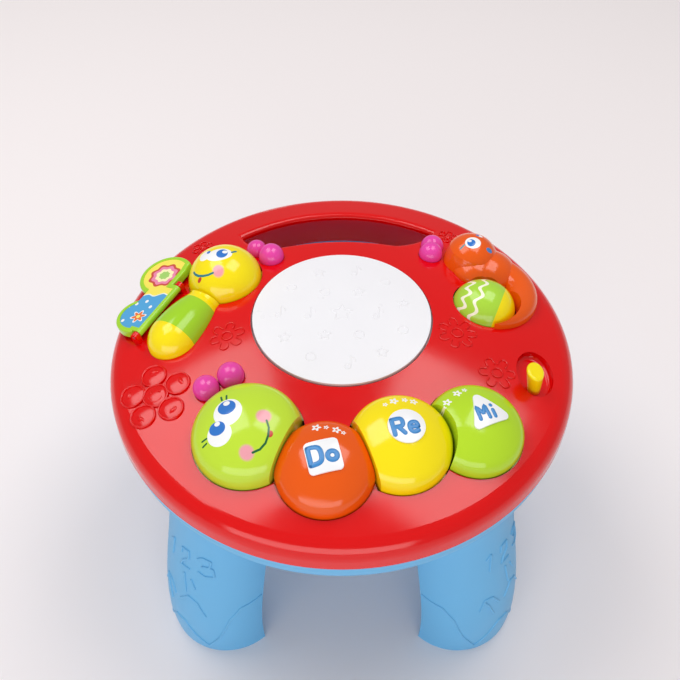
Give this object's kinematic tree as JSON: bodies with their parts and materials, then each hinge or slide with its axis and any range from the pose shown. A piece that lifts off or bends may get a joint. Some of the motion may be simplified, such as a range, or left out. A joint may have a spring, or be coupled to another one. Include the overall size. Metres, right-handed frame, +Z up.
{
  "type": "musical activity table",
  "caption": "Low round activity table for a baby, with a drum pad, sound keys shaped as animals, a flapping wing, a rolling egg, a sliding selector and a hand hole, on chunky legs.",
  "frame": {"origin": "on the floor, under the middle of the round top", "axes": "+Z up, the child sits at -Y, the carrying handle is at +Y"},
  "size_m": [0.33, 0.33, 0.2447],
  "materials": {
    "red_gloss": "gloss",
    "blue_satin": "satin",
    "white_pad": "satin",
    "green_gloss": "gloss",
    "yellow_gloss": "gloss",
    "orange_gloss": "gloss",
    "pink_gloss": "gloss",
    "label_print": "satin",
    "sheet_print": "satin",
    "steel": "satin",
    "board": "satin",
    "black_plastic": "satin",
    "contact_rubber": "satin",
    "paper_cone": "matte",
    "light_lens": "gloss",
    "cell_jacket": "gloss"
  },
  "bodies": {
    "table": {"top_shell": "red_gloss", "base_tray": "blue_satin", "worm_feelers": "pink_gloss", "butterfly_body": "green_gloss", "butterfly_tail": "yellow_gloss", "wing_hinge_pin": "steel", "butterfly_feelers": "pink_gloss", "snail_body": "orange_gloss", "snail_feelers": "pink_gloss", "slide_switch": "black_plastic", "main_board": "board", "main_board_parts": "black_plastic", "key_board": "board", "light_board": "board", "lights": "light_lens", "butterfly_board": "board", "contact_head": "contact_rubber", "contact_do": "contact_rubber", "contact_re": "contact_rubber", "contact_mi": "contact_rubber", "contact_butterfly": "contact_rubber", "contact_pad": "contact_rubber", "speaker_frame": "steel", "speaker_magnet": "black_plastic", "speaker_cone": "paper_cone", "battery_box": "blue_satin", "battery_cells": "cell_jacket", "battery_contacts": "steel", "battery_door": "blue_satin", "door_screw": "steel", "case_screws": "steel", "board_screws": "steel", "leg_front_left": "blue_satin", "leg_front_right": "blue_satin", "leg_back_right": "blue_satin", "leg_back_left": "blue_satin"},
    "drum_pad": {"drum_pad": "white_pad"},
    "worm_head": {"worm_head": "green_gloss"},
    "do_key": {"key_do": "orange_gloss", "label_square": "label_print"},
    "re_key": {"key_re": "yellow_gloss", "label_circle": "label_print"},
    "mi_key": {"key_mi": "green_gloss", "label_triangle": "label_print"},
    "butterfly_head": {"butterfly_head": "yellow_gloss"},
    "wing": {"butterfly_wing": "green_gloss", "butterfly_wing_sheet": "sheet_print"},
    "egg": {"snail_egg": "green_gloss", "snail_egg_end": "yellow_gloss", "snail_egg_axle": "steel"},
    "selector_peg": {"selector_peg": "yellow_gloss"}
  },
  "joints": [
    {"name": "drum_pad_press", "type": "slide", "parent": "table", "child": "drum_pad", "axis": [0, 0, -1], "range_m": [0, 0.002], "stiffness_N_per_m": 800, "springref_m": -0.002, "deforming": ["contact_pad"]},
    {"name": "worm_head_press", "type": "slide", "parent": "table", "child": "worm_head", "axis": [0.1084, 0.1566, -0.9817], "range_m": [0, 0.003], "stiffness_N_per_m": 400, "springref_m": -0.003, "deforming": ["contact_head"]},
    {"name": "do_key_press", "type": "slide", "parent": "table", "child": "do_key", "axis": [0.0189, 0.2011, -0.9794], "range_m": [0, 0.003], "stiffness_N_per_m": 400, "springref_m": -0.003, "deforming": ["contact_do"]},
    {"name": "re_key_press", "type": "slide", "parent": "table", "child": "re_key", "axis": [-0.0668, 0.1696, -0.9832], "range_m": [0, 0.003], "stiffness_N_per_m": 400, "springref_m": -0.003, "deforming": ["contact_re"]},
    {"name": "mi_key_press", "type": "slide", "parent": "table", "child": "mi_key", "axis": [-0.1545, 0.1464, -0.9771], "range_m": [0, 0.003], "stiffness_N_per_m": 400, "springref_m": -0.003, "deforming": ["contact_mi"]},
    {"name": "butterfly_head_press", "type": "slide", "parent": "table", "child": "butterfly_head", "axis": [0.1536, -0.0975, -0.9833], "range_m": [0, 0.003], "stiffness_N_per_m": 400, "springref_m": -0.003, "deforming": ["contact_butterfly"]},
    {"name": "wing_hinge", "type": "hinge", "parent": "table", "child": "wing", "pos_m": [-0.12804, 0.03178, 0.21863], "axis": [0.4919, 0.8682, 0.0644], "range_deg": [0, 50]},
    {"name": "egg_spin", "type": "hinge", "parent": "table", "child": "egg", "pos_m": [0.10307, 0.02874, 0.21409], "axis": [0.925, -0.3461, -0.1568], "continuous": true},
    {"name": "selector_slide", "type": "slide", "parent": "table", "child": "selector_peg", "axis": [0.0065, 0.9985, 0.0536], "range_m": [0, 0.014]}
  ]
}
